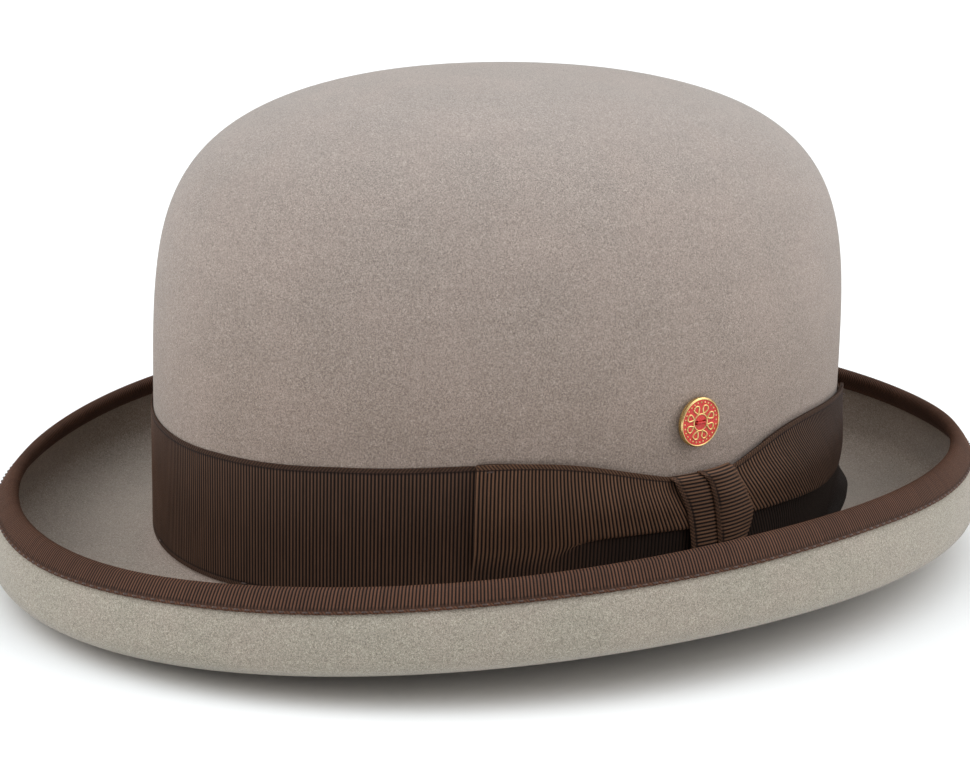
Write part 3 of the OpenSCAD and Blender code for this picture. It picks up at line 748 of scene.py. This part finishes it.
def bow_strip(name, start, end, top, section, turn_shift, back_end, end_tuck_shade, end_shade_factor):
    """A loop of ribbon from the knot at start out to its folded end and back behind itself to back_end.

    The lower ply is painted darker where it lies behind the upper one, a painted shade, and its ribs are made
    shallower with it.
    The next to last argument is the share of that at the folded end, and the last what is left there of all ribs'
    height and colour, a further painted shade at the loop's end.
    """
    a, along = evenly_round(start, end, FINE)
    v, d = section(a)
    upper = smooth(np.linspace(0, 1, BOW_ROWS)[None], 0.3, 0.48)
    lean = turn_shift(a[:, None], v, upper)
    # The half round at the folded end.
    v_end, d_end, a_end = v[-1], d[-1], (a[-1] + lean[-1])
    sign = 1 if end > start else -1
    turns = np.linspace(0, 180, 15)[1:, None]
    radius = np.clip((d_end - BACK_D) / 2, 0.35, 2.4)
    fold_a = a_end + sign * radius * sind(turns) / mm_per_degree(end)
    fold_d = mix(BACK_D, d_end, (1 + cosd(turns)) / 2)
    fold_v = v_end + 0 * turns
    # The ply behind.
    back = np.linspace(0, 1, int(abs(end - back_end) * BAND_DEGREE / BACK_STEP) + 1)[1:, None]
    back_a = mix(a_end, back_end, back)
    back_top = top(mix(end, back_end, back)) - 0.3
    share = (v_end - v_end[0]) / (v_end[-1] - v_end[0])
    back_v = mix(v_end, 0.4 + share * (back_top - 0.4), smooth(back, 0, 0.3))
    grids = [np.concatenate([np.broadcast_to(x, (len(x), BOW_ROWS)) for x in parts]) for parts in (
        (a[:, None] + lean, fold_a, back_a), (v, fold_v, back_v), (d, fold_d, BACK_D + 0 * back_v))]
    middle = on_wall(*grids)
    step = np.linalg.norm(np.diff(middle[:, BOW_ROWS // 2], axis=0), axis=-1)
    length = np.concatenate([along, along[-1] + np.cumsum(step[len(along) - 1:])])
    rib = ribbed(length[:, None], run_across(middle)[1])
    from_end = np.abs(grids[0][:, BOW_ROWS // 2] - end)[:, None]
    # Painted shade: the lower ply's colour is darkened, and its ribs made shallower, where it lies behind the
    # upper ply; towards the rear loop's end all its ribs are darkened and made shallower as well.
    tuck_shade = 0.36 * (1 - upper) * mix(end_tuck_shade, 1, smooth(from_end, 8, 34))
    rib *= (1 - tuck_shade) * mix(end_shade_factor, 1, smooth(from_end, 4, 40))
    halfway_round = len(along) + len(turns) // 2 + 2
    rib[halfway_round:] = HIDDEN_RIB
    o = strip(name, middle, PLY, bow_cloth, rib, RIB_DEPTH, along=length[:, None])
    finish_piece(o, "ribbon")
    return o


def front_section(a):
    fold = smooth(a, -27, -17)
    pleat = curve(a, [-36, -26, -18, -10, -2], [14.0, 13.6, 13.2, 12.4, 11.0])
    low_d = curve(a, [-36, -30, -22, -14, -8, 0], [2.15, 2.3, 2.05, 1.65, 1.5, 1.3])
    high_d = curve(a, [-36, -31, -24, -14, -8, 0], [2.15, 2.45, 2.85, 3.0, 2.7, 1.8])
    top_d = curve(a, [-36, -31, -24, -14, -8, 0], [2.0, 2.0, 2.0, 1.95, 1.7, 1.4])
    return folded_section(front_top(a), pleat, fold, low_d, high_d, top_d, 2.2)


def front_lean(a, v, upper):
    """How far the ribs lean, in degrees round the hat.

    On the upper ply they turn towards the knot as they go down.
    """
    down = (front_top(a) - v) / front_top(a)
    path = mix(0.5, curve(down, [0, 0.08, 0.62], [0, 0.05, 1.0]), upper)
    lean = 8.2 * np.exp((a + 5) / 11) * path
    return lean / mm_per_degree(a) + 0.6 * v / 35 * smooth(-a, 20, 34)


def rear_section(a):
    fold = smooth(-a, -46, -37)
    pleat = curve(a, [-2, 10, 20, 30, 40, 50], [12.2, 12.9, 13.9, 17.2, 21.5, 23.0])
    low_d = curve(a, [-2, 10, 20, 30, 40, 50], [1.3, 1.5, 1.65, 1.65, 1.65, 1.7])
    high_d = curve(a, [-2, 6, 14, 26, 36, 44, 50], [2.2, 3.1, 4.4, 4.7, 3.6, 2.3, 1.75])
    top_d = curve(a, [-2, 6, 14, 26, 40, 50], [1.5, 1.8, 2.0, 2.0, 1.7, 1.6])
    v, d = folded_section(rear_top(a), pleat, fold, low_d, high_d, top_d, 3.0)
    flare = 3.1 * smooth(a, 34, 48)[:, None]
    bump = smooth(-v, -12.0, -6.0) * (0.45 + 0.55 * smooth(v, -3, 4))
    row = np.linspace(0, 1, BOW_ROWS)[None]
    upper = smooth(row, 0.34, 0.48)
    return v, d + flare * bump * (1 - fold[:, None] * upper)


def rear_lean(a, v, upper):
    """The ribs of the rear loop lean away from the knot as they go down, and its lower corner is cut back."""
    top = rear_top(a)
    down = np.clip((top - v) / 24, 0, 1)
    slope = curve(a, [-2, 8, 24, 40, 50], [15.0, 19.0, 17.0, 8.0, 1.0])
    corner = -9.0 * np.clip(1 - v / 12, 0, 1) ** 2 * smooth(a, 26, 50)
    return slope * curve(down, [0, 0.1, 1], [0, 0.06, 1.0]) * mix(0.5, 1, upper) / mm_per_degree(a) + corner


# The last two numbers: the share of painted shade on the lower ply at the folded end, and what is left of the
# ribs' height and colour there, a painted shade.
front_loop = bow_strip(
    "bow_front_loop_ribbon", -1.0, FRONT_FOLD, front_top, front_section, front_lean, -10.0, 0.35, 1.0)
rear_loop = bow_strip("bow_rear_loop_ribbon", -3.0, REAR_FOLD, rear_top, rear_section, rear_lean, 12.0, 1.0, 0.8)
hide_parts("bow_front_loop")
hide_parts("bow_rear_wing")


def knot_layer(name, left, right, left_d, middle_d, right_d, top, tilt):
    """One turn of the ribbon round the knot, with a selvedge on its left.

    left and right give its edges at a height on the wall, and the three offsets how far it stands off there
    and in between."""
    pitch = 1.02
    turn_r, lowest_d = 1.7, 0.6
    run = np.arange(-2.4, top + 2.4, pitch / 6)
    # Over the top and under the foot the ribbon turns in to the wall.
    v = np.clip(run, 0.6, top - 0.6)
    past = np.clip((run - v) / turn_r, -1.5, 1.5)
    v = v + turn_r * 0.55 * np.sin(past)
    tuck = turn_r * (1 - np.cos(past))
    near = np.array([0, 0.012, 0.04, 0.075, 0.11, 0.15, 0.22])
    w = np.concatenate([near, np.linspace(0.3, 0.7, 5), 1 - near[::-1]])[None]
    a = mix(left(v)[:, None], right(v)[:, None], w)
    across = (a - a[:, :1]) * 1.8
    puff = np.sin(np.pi * np.clip(w, 0, 1)) ** 0.8
    d = mix(left_d, right_d, smooth(w, 0, 1)) + (middle_d - (left_d + right_d) / 2) * puff - 1.35 * tuck[:, None]
    high = v[:, None] + tilt * across * smooth(v, 0, 6)[:, None]
    middle = on_wall(a, high, np.maximum(d, lowest_d))
    rib = ribbed(run[:, None], np.minimum(across, 9), pitch)
    o = strip(name, middle, PLY, bow_cloth, rib, RIB_DEPTH, along=run[:, None])
    finish_piece(o, "ribbon")
    return o


def knot_left(v):
    return curve(v, [0, 7, 17, 26.5], [-2.2, -2.8, -4.0, -6.7])


def knot_middle(v):
    return curve(v, [0, 5, 13, 21, 24, 27], [2.6, 2.2, 1.5, 0.35, -0.4, -2.0])


def knot_right(v):
    return curve(v, [0, 6, 13, 21, 28], [6.0, 8.0, 9.1, 6.4, 3.7])


knot_under = knot_layer(
    "bow_knot_under_turn", knot_left, lambda v: knot_middle(v) + 2.0, 3.2, 3.6, 3.1, 25.5, 0.0)
knot_layer("bow_knot_over_turn", lambda v: knot_middle(v) - 0.3, knot_right, 3.95, 4.2, 3.0, 26.0, 0.03)
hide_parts("bow_knot")


# ---- Brim binding ----
def make_binding():
    per_rib, rib_pitch, stitch = 4, 0.85, 2.8
    a, along = evenly_round(0, 360, rib_pitch / per_rib, EDGE_X + 3, EDGE_Y + 3)
    pitch = along[-1] / round(along[-1] / rib_pitch)
    count = round(along[-1] / pitch) * per_rib
    fine = np.linspace(0, along[-1], count, endpoint=False)
    a, along = np.interp(fine, along, a), fine
    outer_length = (EDGE - LOW_SWING) * (1 - BULGE_SHARE) + 1.6
    start = 2 - BINDING_HEIGHT / outer_length
    stitches = round(along[-1] / stitch)
    pucker = 0.5 + 0.5 * np.cos(2 * np.pi * stitches * along / along[-1])
    low = start + 0.012 * sind(9 * a) + 0.006 * (pucker - 0.5)
    outer = [curl(a, -PLY_OFF, mix(low, 2.0, u)) for u in (0, 0.04, 0.08, 0.12, 0.16, 0.21, 0.32, 0.55, 0.8, 1)]
    over = [edge_round(a, PLY_OFF, turn) for turn in (45, 90, 135)]
    inner = [curl(a, FELT + PLY_OFF, mix(low + 0.05, 2.0, u)) for u in (1, 0.7, 0.4, 0.17, 0.08, 0)]
    grid = np.array([placed(a, *section) for section in outer + over + inner]).transpose(1, 0, 2)
    across, edge = run_across(grid)
    # A real dent along the stitch line, which the material also paints darker: painted shade in the dent.
    dent = 0.55 * np.exp(-(((across - 0.95) / 0.2) ** 2)) * (0.3 + 0.7 * pucker[:, None])
    strokes = 0.42 + 0.58 * ribs(along[:, None] + 0.9 * edge, pitch)
    rib = mix(strokes, ribs(along[:, None], pitch), smooth(edge, 0.75, 1.05))
    rib = np.clip(rib - dent, 0, 1)
    rear = [0, 6, 11, 14, grid.shape[1] - 1]
    o = strip("brim_binding_ribbon", grid, PLY, binding_cloth, rib, 0.17, rear, ring=True, along=along[:, None])
    lines = []
    for k in range(stitches):
        at = (k + 0.5) * along[-1] / stitches
        where = np.interp([at - 0.75, at, at + 0.75], along, a)
        share = np.interp(at, along, low) + 0.09 * (2 - start)
        lines.append(placed(where, *curl(where, -np.array([0.52, 0.78, 0.52]), share)))
    threads = bars("binding_stitch_row", lines, THREAD_R, brown_thread)
    finish_piece(o, "binding", "brim_binding")
    finish_piece(threads, "ribbon_thread", "binding_stitches")


make_binding()


def wall_threads(name, directions, half, v, d, material, rise=0.2):
    """Stitches along the wall, each half degrees to both sides, whose middles stand out by rise."""
    lines = [on_wall(a + half * np.array([-1, 0, 1]), v, d - rise * np.array([1, 0, 1])) for a in directions]
    return bars(name, lines, THREAD_R, material)


tacks = wall_threads("hatband_tack_stitches", [90 + 28 * k for k in range(8)], 0.55, 1.4, 0.85, brown_thread)
finish_piece(tacks, "ribbon_thread", "hatband_tacks")
loop_tacks = bars("bow_tack_stitches", [on_wall(a + np.array([-0.6, 0, 0.6]), v, np.array(d)) for a, v, d in (
    (-34.0, 1.7, (2.0, 2.3, 2.05)), (-33.8, 33.2, (1.9, 2.2, 1.95)), (47.0, 33.4, (2.0, 2.3, 2.0))
)], THREAD_R, brown_thread)
finish_piece(loop_tacks, "ribbon_thread", "bow_tacks")

# ---- Sweatband ----
BACK = 90
SWEAT_BACK, SWEAT_FRONT = -3.4, -4.4
SWEAT_MIDDLE = (SWEAT_BACK + SWEAT_FRONT) / 2
SPLICE_MIDDLE = SWEAT_BACK + 0.23  # It lies between the leather and the felt.
REED_V, REED_D, REED_R = -1.6, -3.9, 1.1
TAPE, TAPE_GAP = 0.3, 0.1


def make_sweatband():
    a, along = evenly_round(BACK + 0.15, BACK + 359.85, 1.0)
    v_top = 50 + 0.35 * sind(3 * a) + 0.2 * sind(8 * a + 30)
    v = rows_between(0 * a + 0.25, v_top, 22)
    wave = 0.12 * sind(9 * a)[:, None] * smooth(v, 20, 48) + 0.06 * sind(4 * a[:, None] + v * 3)
    middle = on_wall(a[:, None], v, SWEAT_MIDDLE + np.clip(wave, -0.15, 0.15) * 0.6)
    o = strip("leather_sweatband", middle, 0.95, leather, along=along[:, None])
    finish_piece(o, "leather", "sweatband")


make_sweatband()


def make_reed():
    a = np.linspace(0, 360, 240, endpoint=False)
    turn = np.arange(0, 360, 30)[None]
    middle = on_wall(a[:, None], REED_V + REED_R * sind(turn), REED_D + REED_R * cosd(turn))
    o = sweep("sweatband_reed_core", middle, reed_plastic, ring=True)
    finish_piece(o, "reed", "sweatband_reed")


make_reed()


def make_tape():
    a, along = evenly_round(0, 360, 1.0)
    a, along = a[:-1], along[:-1]
    r = REED_R + TAPE_GAP + TAPE / 2
    back_d = SWEAT_BACK + TAPE_GAP + TAPE / 2
    front_d = SWEAT_FRONT - TAPE_GAP - TAPE / 2
    turns = np.arange(0, -181, -20)
    v = [5.0, 3.6, 2.2, 0.8] + [REED_V + r * sind(t) for t in turns] + [-0.6, 0.3, 1.0, 1.6]
    d = [back_d] * 4 + [REED_D + r * cosd(t) for t in turns] + [front_d] * 4
    ripple = 0.05 * sind(a * 36)[:, None]
    middle = on_wall(a[:, None], np.array(v) + ripple, np.array(d))
    o = strip("reed_binding_tape", middle, TAPE - 0.04, tape_cloth, ring=True, along=along[:, None])
    finish_piece(o, "tape", "reed_tape")


make_tape()
band_threads = wall_threads("sweatband_stitch_row", np.arange(0, 360, 2.0), 0.62, 1.0,
                            SWEAT_FRONT - TAPE_GAP - TAPE - 0.1, leather_thread, -0.25)
finish_piece(band_threads, "sweatband_thread", "sweatband_stitches")


def make_splice():
    a = np.linspace(BACK - 2.5, BACK + 2.5, 20)
    v = rows_between(0 * a + 6, 0 * a + 47, 20)
    middle = on_wall(a[:, None], v, SPLICE_MIDDLE)
    o = strip("sweatband_splice_tape", middle, 0.26, tape_cloth)
    finish_piece(o, "tape", "sweatband_splice")


make_splice()


def make_small_bow():
    """A flat bow of tape over the foot of the sweatband's joint, with a knot of its own."""
    centre_v, face_d = 9, SWEAT_FRONT - TAPE
    w = np.linspace(-1, 1, 81)
    rows = np.linspace(-1, 1, 17)[None]
    half = 1.3 + 3.4 * np.abs(w) ** 1.4
    lift = 0.35 + 1.5 * np.sin(np.pi * np.clip(np.abs(w), 0, 1)) ** 2
    crease = 0.28 * np.cos(rows * np.pi * 2.5) * np.exp(-((w[:, None] / 0.45) ** 2))
    a = BACK + 8 * w[:, None] * (1 - 0.06 * rows**2)
    middle = on_wall(a, centre_v + half[:, None] * rows, face_d - 0.45 - lift[:, None] - crease)
    loops = strip("sweatband_bow_loops", middle, 0.3, tape_cloth)
    finish_piece(loops, "tape", "sweatband_bow")
    turn = np.linspace(0, 2 * np.pi, 33)[None, :-1]
    along = np.linspace(-1, 1, 15)[:, None]
    waist = 1 - 0.18 * along * along
    knot = on_wall(BACK + 0.95 * along, centre_v + 2.3 * waist * np.cos(turn),
                   face_d - 1.45 + 1.05 * waist * np.sin(turn))
    length, breadth = np.broadcast_arrays(turn * 2.3, along * 1.5)
    o = sweep("sweatband_bow_knot", knot, tape_cloth, values={"along": length, "across": breadth})
    finish_piece(o, "tape")


make_small_bow()


# ---- Lining ----
def lining_drape(a, share):
    """Soft gathers of the lining, towards the inside only."""
    folds = 0.5 + 0.5 * sind(46 * a + 25 * sind(3 * a))
    slow = 0.5 + 0.5 * sind(13 * a + 60 * share)
    return -(0.42 * folds * share + 0.35 * slow * share)


SIDE_D, TIP_D, PIPING_D = -2.75, -2.65, -3.9  # From the crown's outer face: the lining lies inside the felt.
TIP_HALF = 0.12  # Half the thickness of the tip's cloth.


def make_lining():
    a = np.linspace(0, 360, 720, endpoint=False)
    seam = 8 / 12
    rows = []
    for u in np.linspace(0.0, seam, 30):
        low = foot_z(a) + 36
        z = np.maximum(dome_z(a, mix(0.12, seam, u / seam)), low + 0.5 * u)
        gather = smooth(u / seam, 0.15, 0.8) * (1 - 0.5 * smooth(u / seam, 0.85, 1.0))
        rows.append(placed(a, *dome(z, SIDE_D + lining_drape(a, gather))))
    grid = np.array(rows).transpose(1, 0, 2)
    side = strip("satin_lining_side", grid, 0.26, satin, ring=True)
    finish_piece(side, "satin", "lining_side")
    rows = []
    for u in np.linspace(seam + 0.006, 0.985, 30):
        share = (u - seam) / (1 - seam)
        gather = smooth(share, 0.0, 0.12) * (1 - smooth(share, 0.3, 0.8))
        rows.append(placed(a, *dome(dome_z(a, u), TIP_D + 0.5 * lining_drape(a, gather))))
    face = np.array(rows)
    half = TIP_HALF * surface_normals(face.transpose(1, 0, 2), True).transpose(1, 0, 2)
    both = np.concatenate([(face + half)[::-1], face - half])
    centre = CROWN_TOP + TIP_D
    tip = shell("satin_lining_tip", both, (0, 0, centre + TIP_HALF), (0, 0, centre - TIP_HALF), satin)
    finish_piece(tip, "satin", "lining_tip")
    turn = np.arange(0, 360, 30)[None]
    half_x, half_y, z = (x[:, None] for x in dome(dome_z(a, seam), PIPING_D))
    r = 0.75 + 0.12 * np.cos(np.radians(a * 150))[:, None] * cosd(turn)
    cord = placed(a[:, None], half_x + r * cosd(turn), half_y + r * cosd(turn), z + r * sind(turn))
    piping = sweep("satin_lining_piping", cord, satin, ring=True)
    finish_piece(piping, "satin", "lining_piping")


make_lining()


def make_label():
    a = np.linspace(BACK + 24, BACK + 36, 44)
    v = rows_between(0 * a + 16, 0 * a + 28, 18)
    lift = 0.12 * np.exp(-(((a - BACK - 24) / 1.2) ** 2))[:, None]
    middle = on_wall(a[:, None], v, SWEAT_FRONT - 0.32 - lift)
    along = (a - a[0]) * 1.55
    o = strip("size_label_blank", middle, 0.2, label_cloth, along=along[:, None])
    # Its edge value counts the two ends as well, for the woven border.
    edge, run = (o.data.attributes[key].data for key in ("edge", "along"))
    from_edge, from_start = np.empty(len(edge), np.float32), np.empty(len(edge), np.float32)
    edge.foreach_get("value", from_edge)
    run.foreach_get("value", from_start)
    edge.foreach_set("value", np.minimum(from_edge, np.minimum(from_start, along[-1] - from_start)))
    finish_piece(o, "label", "size_label")


make_label()

# ---- Button ----
for node, material in (("button_disc", gilt), ("button_enamel", enamel), ("button_thread", red_thread)):
    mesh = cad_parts[node].data
    mesh.materials.clear()
    mesh.materials.append(material)


def tube_along(points, radius, sides=8):
    """Points and faces of a tube along a closed line, for the button's relief."""
    run = np.roll(points, -1, 0) - np.roll(points, 1, 0)
    run /= np.linalg.norm(run, axis=1, keepdims=True)
    out = np.array([1.0, 0, 0])
    side = np.cross(run, out)
    side /= np.linalg.norm(side, axis=1, keepdims=True)
    turn = 2 * np.pi * np.arange(sides) / sides
    ring = points[:, None] + radius * (side[:, None] * np.cos(turn)[:, None] + out * 0.8 * np.sin(turn)[:, None])
    return ring.reshape(-1, 3), faces_between(len(points), sides, True), []


def bead(centre):
    """Points and faces of a low round bead: rings that close in as they rise."""
    rings, sides = 5, 10
    rise = np.linspace(0, 1.3, rings)[:, None]
    t = np.linspace(0, 2 * np.pi, sides + 1)[None, :-1]
    r, h = 0.26 * np.cos(rise), 0.22 * np.sin(rise)
    points = np.stack([centre[0] - 0.03 + h + 0 * t, centre[1] + r * np.cos(t), centre[2] + r * np.sin(t)], -1)
    return points.reshape(-1, 3), faces_between(rings, sides), end_faces(rings, sides)


def make_relief():
    """A plain ornament of petals and beads on the enamel, raised in the same metal as the rim."""
    petals, beads = 8, 28
    low, high = (np.array(c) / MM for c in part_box("button_enamel"))
    face = high[0]
    centre_y, centre_z = (low[1] + high[1]) / 2, (low[2] + high[2]) / 2

    def at(r, turn):
        return np.stack([face + 0 * r * turn, centre_y + r * np.cos(turn), centre_z + r * np.sin(turn)], -1)

    t = np.linspace(0, 2 * np.pi, 49)[:-1]
    parts = [tube_along(at(2.2, t), 0.22)]
    for k in range(petals):
        turn = 2 * np.pi * (k + 0.5) / petals + 0.285 * np.sin(t) * (0.75 + 0.25 * np.cos(t))
        parts.append(tube_along(at(3.55 + 1.05 * np.cos(t), turn), 0.24))
    parts += [bead(at(5.3, 2 * np.pi * k / beads)) for k in range(beads)]
    points, quads, extra, base = [], [], [], 0
    for part_points, part_quads, ends in parts:
        points.append(part_points)
        quads.append(part_quads + base)
        extra += [[v + base for v in f] for f in ends]
        base += len(part_points)
    o = make_mesh("button_relief", np.concatenate(points), np.concatenate(quads), extra, gilt)
    finish_piece(o, "gilt", body="button")


make_relief()

# ---- Floor, light and camera ----
FLOOR_HALF, FLOOR_GAP = 9.0, 0.0003
floor_mesh = bpy.data.meshes.new("floor")
floor_mesh.from_pydata([(x * FLOOR_HALF, y * FLOOR_HALF, 0) for x, y in ((-1, -1), (1, -1), (1, 1), (-1, 1))], [],
                       [(0, 1, 2, 3)])
floor_mesh.materials.append(floor_material())
floor = bpy.data.objects.new("floor", floor_mesh)
floor.location.z = -FLOOR_GAP
bpy.context.scene.collection.objects.link(floor)

world = bpy.data.worlds.new("studio")
bpy.context.scene.world = world
world.use_nodes = True
# The camera's direction and roll in degrees, its distance in metres, its focal length in pixels of a picture
# this wide, and the point that it looks at: so far to its right of the hat's axis, and so high.
AZIMUTH, ELEVATION, ROLL, DISTANCE = 53.55, 14.60, 1.45, 0.6286
FOCAL_PX, PICTURE_WIDTH, SENSOR = 2180.2, 970, 36.0
AIM_RIGHT, AIM_UP = -0.00518, 0.04498


def towards(azimuth, elevation):
    """A unit vector, in radians: azimuth 0 is the front of the hat, and a quarter turn its left."""
    flat = math.cos(elevation)
    return Vector((math.sin(azimuth) * flat, -math.cos(azimuth) * flat, math.sin(elevation)))


def sky_light(lobes):
    """A studio of big soft lights all round, a little cooler from above.

    Each gives its turn from the camera and its height in degrees, how narrow it is, and its strength."""
    sky = Nodes(world.node_tree)
    direction = sky.add("ShaderNodeTexCoord").outputs["Generated"]
    total = None
    for turn, height, power, strength in lobes:
        place = towards(math.radians(AZIMUTH + turn), math.radians(height))
        facing = sky.add("ShaderNodeVectorMath", {0: direction, 1: place}, operation="DOT_PRODUCT")
        facing = sky.math("MAXIMUM", facing.outputs["Value"], 0.0)
        lobe = sky.times(sky.math("POWER", facing, power), strength)
        total = lobe if total is None else sky.math("ADD", total, lobe)
    up = sky.add("ShaderNodeSeparateXYZ", {0: direction}).outputs["Z"]
    background = sky.tree.nodes["Background"]
    sky.tree.links.new(sky.ramp(up, (0.3, (1.0, 0.965, 0.935, 1)), (0.9, (0.92, 0.97, 1.0, 1))),
                       background.inputs["Color"])
    sky.tree.links.new(total, background.inputs["Strength"])


sky_light(((0, 90, 4, 1.42), (90, 45, 8, 2.2), (-90, 45, 8, 1.5), (-45, 45, 8, 1.36),
           (90, 12, 8, 2.25), (-90, 12, 8, 1.2), (-45, 12, 8, 0.45)))

az, el, roll = (math.radians(x) for x in (AZIMUTH, ELEVATION, ROLL))
backward = towards(az, el)
right = Vector((math.cos(az), math.sin(az), 0))
upward = backward.cross(right)
target = right * AIM_RIGHT + Vector((0, 0, AIM_UP))
camera_data = bpy.data.cameras.new("camera")
camera_data.sensor_fit = "HORIZONTAL"
camera_data.sensor_width = SENSOR
camera_data.lens = FOCAL_PX / PICTURE_WIDTH * SENSOR
camera_data.clip_start, camera_data.clip_end = 0.01, 50
camera = bpy.data.objects.new("camera", camera_data)
turned_right = right * math.cos(roll) + upward * math.sin(roll)
turned_up = upward * math.cos(roll) - right * math.sin(roll)
pose = Matrix((turned_right, turned_up, backward)).transposed().to_4x4()
pose.translation = target + backward * DISTANCE
camera.matrix_world = pose
bpy.context.scene.collection.objects.link(camera)
bpy.context.scene.camera = camera
bpy.context.scene.view_settings.view_transform = "Standard"
